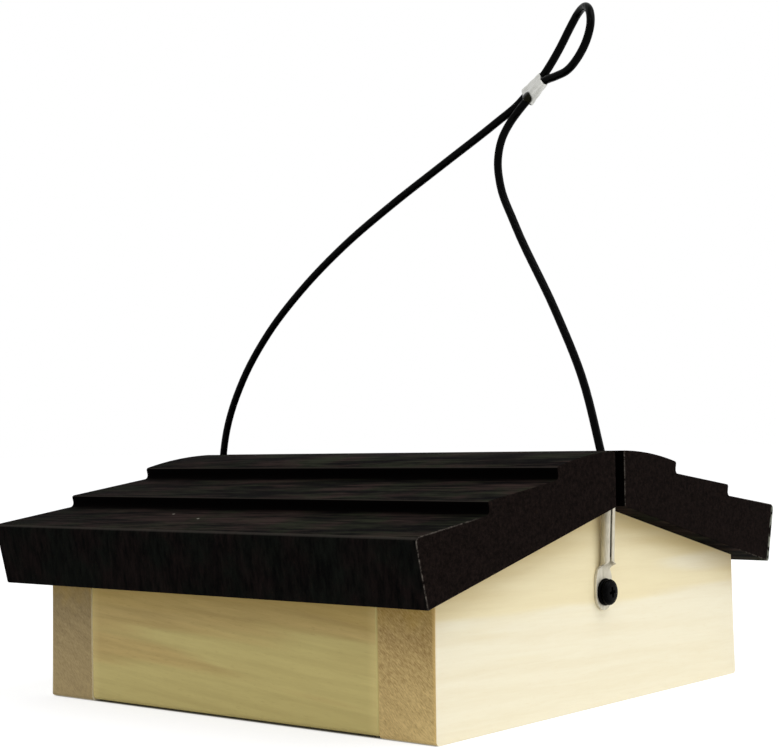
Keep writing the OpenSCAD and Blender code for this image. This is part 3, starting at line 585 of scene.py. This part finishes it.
def ferrule():
    """An oval sleeve on the rope's two lanes, with rounded ends, a waist and two pressed bands."""
    foot, head = (route[12] + route[28]) / 2, (route[14] + route[26]) / 2
    up_axis = (head - foot).normalized()
    across = (route[12] + route[14] - route[28] - route[26]) / 4
    across -= up_axis * across.dot(up_axis)
    lane, length = across.length, (head - foot).length
    x_axis = across.normalized()
    place = Matrix((x_axis, up_axis.cross(x_axis), up_axis)).transposed().to_4x4()
    place.translation = foot
    rings = []
    levels = [0, 0.08, 0.25, 0.5] + [0.5 + (length - 1) * k / 30 for k in range(1, 31)]
    levels += [length - 0.25, length - 0.08, length]
    for z in levels:
        rim = min(z, length - z)
        lost = 0.45 - math.sqrt(max(0, 0.45 ** 2 - max(0, 0.45 - rim) ** 2))
        press = sum(math.exp(-((z - at * length) / 0.8) ** 2) for at in (0.32, 0.68))
        ring = []
        for k in range(64):
            c, s = math.cos(math.tau * k / 64), math.sin(math.tau * k / 64)
            # Squarish at the foot and rounder at the loop, as the pressing jaws leave it, with a hollow waist
            corner = 0.4 + 0.45 * z / length
            side = 2.1 - 0.3 * z / length - lost
            x = (lane + side) * math.copysign(abs(c) ** corner, c)
            waist = 0.3 * math.exp(-(x / 1.2) ** 2)
            y = (side - waist - 0.14 * press) * math.copysign(abs(s) ** corner, s)
            ring.append(Vector((x, y, z)))
        rings.append(ring)
    body = skin(rings)
    bores = []
    for x in (-lane, lane):
        bore = bmesh.new()
        bmesh.ops.create_cone(bore, cap_ends=True, segments=32, radius1=1.42, radius2=1.42, depth=length + 2)
        bmesh.ops.translate(bore, vec=(x, 0, length / 2), verts=bore.verts)
        bores.append(bore)
    body = minus(body, joined(*bores))
    bmesh.ops.transform(body, matrix=place, verts=body.verts)
    return body


rope_bm, rope_path, rope_length = rope()
cable = piece(rope_bm, "hanger_cable", rope_coating, sharp=60)
sleeve = piece(ferrule(), "crimp_ferrule", aluminium)


# Box

for name, material, turned in (("front_gable_board", pale_board, False),
        ("rear_gable_board", pale_board_rear, True)):
    board = prism([(-half_w, 0), (half_w, 0), (half_w, wall_h), (0, apex_z), (-half_w, wall_h)], -half_l, -bay_y)
    for end in (-1, 1):
        soften(board, 1.4, lambda p: p.z < 0.01 and p.x * end > half_w - 0.01, 4)
    soften(board, 1.2, lambda p: p.y < 0.01 - half_l and p.z > 1 and abs(p.x) > half_w - 0.01)
    soften(board, 0.25, lambda p: p.y < 0.01 - half_l and p.z < 0.01, 2)
    soften(board, 0.35, lambda p: p.y > -0.01 - bay_y, 2)
    board = minus(board, block((-bay_x - rabbet_w, -bay_y - rabbet_w, -1),
        (bay_x + rabbet_w, 1 - bay_y, rabbet_h)))
    piece(board, name, material, turned=turned)

for name, turned in (("right_side_board", False), ("left_side_board", True)):
    board = prism([(bay_x + rabbet_w, 0.6), (half_w, 0.6), (half_w, wall_h),
        (bay_x, wall_h + (half_w - bay_x) * math.tan(pitch)), (bay_x, rabbet_h), (bay_x + rabbet_w, rabbet_h)],
        -bay_y, bay_y)
    soften(board, 1.4, lambda p: p.z < 0.61 and p.x > half_w - 0.01, 4)
    for end in (-1, 1):
        soften(board, 0.9, lambda p: p.y * end > bay_y - 0.01 and p.x > half_w - 1.5)
    piece(board, name, tan_board, turned=turned)


# Mesh floor: eleven wires each way, the ones along X welded on top of the ones along Y

def wire(length, centre, turn):
    """One straight wire with its blunt ends rounded by the coating."""
    bm = bmesh.new()
    bmesh.ops.create_cone(bm, cap_ends=True, segments=14, radius1=0.9, radius2=0.9, depth=length)
    for end in (-1, 1):
        soften(bm, 0.4, lambda p: p.z * end > length / 2 - 0.01)
    bmesh.ops.rotate(bm, cent=(0, 0, 0), matrix=Matrix.Rotation(math.pi / 2, 3, turn), verts=bm.verts)
    bmesh.ops.translate(bm, vec=centre, verts=bm.verts)
    return bm


# The outermost wires' distances from the middle
last_x, last_y = 63.5, 61.5
wires = [wire(131.4, ((i / 5 - 1) * last_x, 0, 2.4), "X") for i in range(11)]
wires += [wire(135.4, (0, (i / 5 - 1) * last_y, 3.9), "Y") for i in range(11)]
piece(joined(*wires), "mesh_floor", wire_coating)


# Lugs and their screws, drawn at the front

lug_z = 34.3


def strip(half, thick):
    """Points round a strip of sheet of this half width and half thickness, with its cut edges just broken."""
    r = min(0.2, half / 2)
    across = [(half - r) * (1 - k / 18) for k in range(37)]
    edge = [(half - 0.3 * r, thick - 0.3 * r), (half, thick - r), (half, r - thick),
        (half - 0.3 * r, 0.3 * r - thick)]
    return [(-a, thick) for a in across] + edge + [(a, -thick) for a in across] + [(-a, -b) for a, b in edge]


def lug():
    """One piece of sheet: a round paddle under the screw, a neck, and a barrel rolled round the rope, whose
    seam is turned 27 degrees from the front. Each station gives its height over the screw, its width, half
    the angle that it is rolled to, the seam's turn and the sheet's thickness."""
    stations = []
    for k in range(9):
        turn = math.radians(6 + 84 * k / 8)
        stations.append((-1.1 - 4.4 * math.cos(turn), 8.8 * math.sin(turn), 0.01, 0, 1))
    stations += [(1.2, 8.75, 0.01, 0, 1), (4.26, 8.6, 0.01, 0, 1), (5.2, 8.1, 0.02, 0, 1), (6.2, 7.2, 0.03, 0, 1),
        (7, 6.6, 0.08, 0, 1), (7.5, 6.6, 0.35, 0.05, 0.95), (7.9, 7.1, 0.9, 0.12, 0.88), (8.25, 8, 1.55, 0.2, 0.8),
        (8.6, 9, 2.2, 0.3, 0.73), (9.1, 10, 2.75, 0.4, 0.67), (9.6, 10.6, 3, 0.47, 0.65)]
    stations += [(10 + 17.7 * k / 12, 10.6, 3, 0.47, 0.65) for k in range(13)]
    rings = []
    for z, width, rolled, turn, thick in stations:
        r = width / 2 / rolled
        behind = -80.5 + 0.08 * min(1, max(0, z - 7.1)) - max(0, z - 8.7) * math.tan(math.radians(2.86))
        ring = []
        for across, out in strip(width / 2, thick / 2):
            a = across / r + turn
            ring.append(Vector(((r + out) * math.sin(a), behind - r + (r + out) * math.cos(a), lug_z + z)))
        rings.append(ring)
    return skin(rings)


on_lug = Matrix.Translation((0, -81, lug_z)) @ Matrix.Rotation(math.pi / 2, 4, "X")
on_washer = Matrix.Translation((0, -82, lug_z)) @ Matrix.Rotation(math.pi / 2, 4, "X")


def pan_head_screw():
    """A low pan head with a cross recess whose arms narrow towards the bottom, on a plain shank."""
    body = spun([(0, -17), (1.2, -17), (2, -14.5), (2, 0), (3, 0), (3.45, 0.09), (3.76, 0.28), (3.92, 0.54),
        (3.95, 0.76), (3.87, 1.05), (3.62, 1.4), (3.2, 1.66), (2.6, 1.81), (1.7, 1.88), (0.8, 1.9), (0, 1.9)],
        Matrix())
    arms = []
    for turn in (0, math.pi / 2):
        arm = block((-2.1, -0.55, 0.5), (2.1, 0.55, 3))
        soften(arm, 0.2, lambda p: True, 2)
        for v in arm.verts:
            if v.co.z < 1.5:
                v.co.x, v.co.y = v.co.x * 0.5, v.co.y * 0.62
        bmesh.ops.rotate(arm, cent=(0, 0, 0), matrix=Matrix.Rotation(turn + 0.12, 3, "Z"), verts=arm.verts)
        arms.append(arm)
    for arm in arms:
        body = minus(body, arm)
    bmesh.ops.transform(body, matrix=on_washer, verts=body.verts)
    return body


for end, turned in (("front", False), ("rear", True)):
    piece(lug(), end + "_cable_lug", tinned_sheet, turned=turned, sharp=40)
    washer = spun([(2.2, 0), (3.9, 0), (4.08, 0.1), (4.15, 0.3), (4.12, 0.55), (3.96, 0.8), (3.7, 0.95), (3.4, 1),
        (2.2, 1), (2.2, 0)], on_lug)
    piece(washer, end + "_lug_washer", black_steel, turned=turned)
    piece(pan_head_screw(), end + "_lug_screw", black_steel, turned=turned)


# Roof, drawn on the right

def on_slope(s, n):
    """x and z at a distance s down the slope and n off the panels' undersides."""
    return (s * math.cos(pitch) + n * math.sin(pitch), roof_z - s * math.sin(pitch) + n * math.cos(pitch))


for name, turned in (("right_roof_panel", False), ("left_roof_panel", True)):
    nose = on_slope(first_nose, thick)
    crown_r = nose[0] / math.sin(pitch)
    crown_z = nose[1] + crown_r * (1 - math.cos(pitch))
    start = math.asin(slot / crown_r)
    crown = [start + (pitch - start) * k / 14 for k in range(13, -1, -1)]
    outline = [(slot, slot_z), on_slope(eave, 0), on_slope(eave, eave_n),
        on_slope(second_nose, foot), on_slope(second_nose, thick), on_slope(first_nose, foot), nose]
    outline += [(crown_r * math.sin(a), crown_z - crown_r * (1 - math.cos(a))) for a in crown]
    panel = prism(outline, -roof_end, roof_end)
    for spot, radius in ((on_slope(eave, 0), 0.6), (on_slope(eave, eave_n), 1.8),
            (on_slope(second_nose, foot), 1.5), (on_slope(second_nose, thick), 0.8),
            (on_slope(first_nose, foot), 1.5), (nose, 0.8), (outline[-1], 0.8)):
        soften(panel, radius, lambda p: abs(p.x - spot[0]) + abs(p.z - spot[1]) < 0.01, 4)
    for end in (-1, 1):
        soften(panel, 0.45, lambda p: p.y * end > roof_end - 0.01)
    piece(panel, name, stained_roof, "roof", turned)

cleat_w, cleat_l, cleat_z = 17, 40, roof_z - 15
cleat_top = roof_z - cleat_w * math.tan(pitch)
cleat = prism([(-cleat_w, cleat_z), (cleat_w, cleat_z), (cleat_w, cleat_top), (slot, slot_z), (-slot, slot_z),
    (-cleat_w, cleat_top)], -cleat_l, cleat_l)
soften(cleat, 0.8, lambda p: p.z < cleat_z + 0.01)
sinks = []
for x in (-10, 10):
    for y in (-25, 25):
        sink = bmesh.new()
        bmesh.ops.create_cone(sink, cap_ends=True, segments=40, radius1=4.05, radius2=1.8, depth=2.3)
        bmesh.ops.translate(sink, vec=(x, y, cleat_z + 0.63), verts=sink.verts)
        sinks.append(sink)
piece(minus(cleat, joined(*sinks)), "ridge_cleat", tan_board, "roof")

spacer = block((-slot, -cleat_l, slot_z), (slot, cleat_l, slot_z + 10.5))
soften(spacer, 0.5, lambda p: p.z > roof_z + 9)
piece(spacer, "ridge_spacer", stained_roof, "roof")

# These small fasteners keep their solids
for name, material in (("mesh_staples", zinc), ("corner_brads", zinc), ("cleat_screws", yellow_zinc)):
    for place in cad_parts[name].material_slots:
        place.material = material


# Floor, backdrop and light

floor_bm = bmesh.new()
bmesh.ops.create_circle(floor_bm, cap_ends=True, segments=96, radius=9)
mesh = bpy.data.meshes.new("floor")
floor_bm.to_mesh(mesh)
floor_bm.free()
floor = bpy.data.objects.new("floor", mesh)
scene.collection.objects.link(floor)

# White paper sweep: it shows as white with the object's soft shadow, and bounces light as pale paper does
paper, tree, shader = finish("paper_white_sweep", Base_Color=srgb("E6E6E4"), Roughness=0.9)
# Its white fades out under the box: painted shadow where no light gets in
spot = node(tree, "SeparateXYZ", {0: node(tree, "TexCoord").outputs["Object"]})
under = []
for axis, half in ((0, half_w), (1, half_l)):
    aside = node(tree, "Math", {0: spot.outputs[axis]}, operation="ABSOLUTE").outputs[0]
    under.append(node(tree, "MapRange", {"Value": aside, "From Min": (half - 1.5) * MM,
        "From Max": half * MM}).outputs[0])
clear = node(tree, "Math", {0: under[0], 1: under[1]}, operation="MAXIMUM")
clear = node(tree, "Math", {0: clear.outputs[0], 1: 0.72}, operation="MULTIPLY")
glow = node(tree, "Emission", {"Color": (1, 1, 1, 1), "Strength": clear.outputs[0]})
matt = node(tree, "BsdfDiffuse", {"Color": srgb("B4B4B4")})
white = node(tree, "AddShader", {0: glow.outputs[0], 1: matt.outputs[0]})
shown = node(tree, "MixShader", {0: pictured(tree), 1: shader.outputs[0], 2: white.outputs[0]})
tree.links.new(shown.outputs[0], tree.nodes["Material Output"].inputs["Surface"])
mesh.materials.append(paper)

world = bpy.data.worlds.new("studio")
world.use_nodes = True
scene.world = world
tree = world.node_tree
around = node(tree, "MapRange", {"Value": pictured(tree), "To Min": 0.65, "To Max": 1})
tree.nodes["Background"].inputs["Color"].default_value = (1, 1, 1, 1)
tree.links.new(around.outputs[0], tree.nodes["Background"].inputs["Strength"])

# One wide soft lamp stands to the right of the gable and one hangs over its front. A narrow one hangs high
# behind the camera, to its left. Each has its name, width, length, watts and place
for name, wide, long, power, spot in (
        ("soft_box", 1, 1, 7, (1.15, -1.8, 0.9)),
        ("overhead", 1.2, 1.2, 12, (0.1, -1, 1.7)),
        ("strip", 0.03, 0.7, 1.5, (-0.95, -0.5, 0.95))):
    lamp = bpy.data.lights.new(name, "AREA")
    lamp.shape, lamp.size, lamp.size_y, lamp.energy = "RECTANGLE", wide, long, power
    holder = bpy.data.objects.new(name, lamp)
    holder.location = spot
    holder.rotation_mode = "QUATERNION"
    holder.rotation_quaternion = (Vector(spot) - Vector((0, -0.06, 0.08))).to_track_quat("Z", "Y")
    scene.collection.objects.link(holder)
